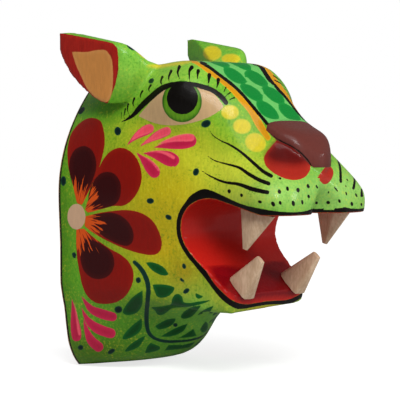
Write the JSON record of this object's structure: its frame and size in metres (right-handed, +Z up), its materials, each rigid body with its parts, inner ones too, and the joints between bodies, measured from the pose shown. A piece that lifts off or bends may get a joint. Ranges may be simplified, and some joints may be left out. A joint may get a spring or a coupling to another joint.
{
  "type": "wall mask",
  "caption": "Carved and painted wooden big cat head mask with a wide open mouth, whittled canine teeth and a flat hollow back that hangs on a wall.",
  "frame": {"origin": "on the flat back of the rim, in the middle of its top wall, where the mask rests on the wall below the nail", "axes": "+Y into the wall, -Y the way the cat looks, +Z up, +X towards the cat's own left side"},
  "size_m": [0.14, 0.2095, 0.255],
  "materials": {
    "painted_wood": "hand painted in green and yellow with flowers, leaves and dots under gloss varnish",
    "bare_wood": "whittled and left bare"
  },
  "bodies": {
    "root": {"head": "painted_wood", "upper_right_tooth": "bare_wood", "upper_left_tooth": "bare_wood", "lower_right_tooth": "bare_wood", "lower_left_tooth": "bare_wood"}
  },
  "joints": []
}
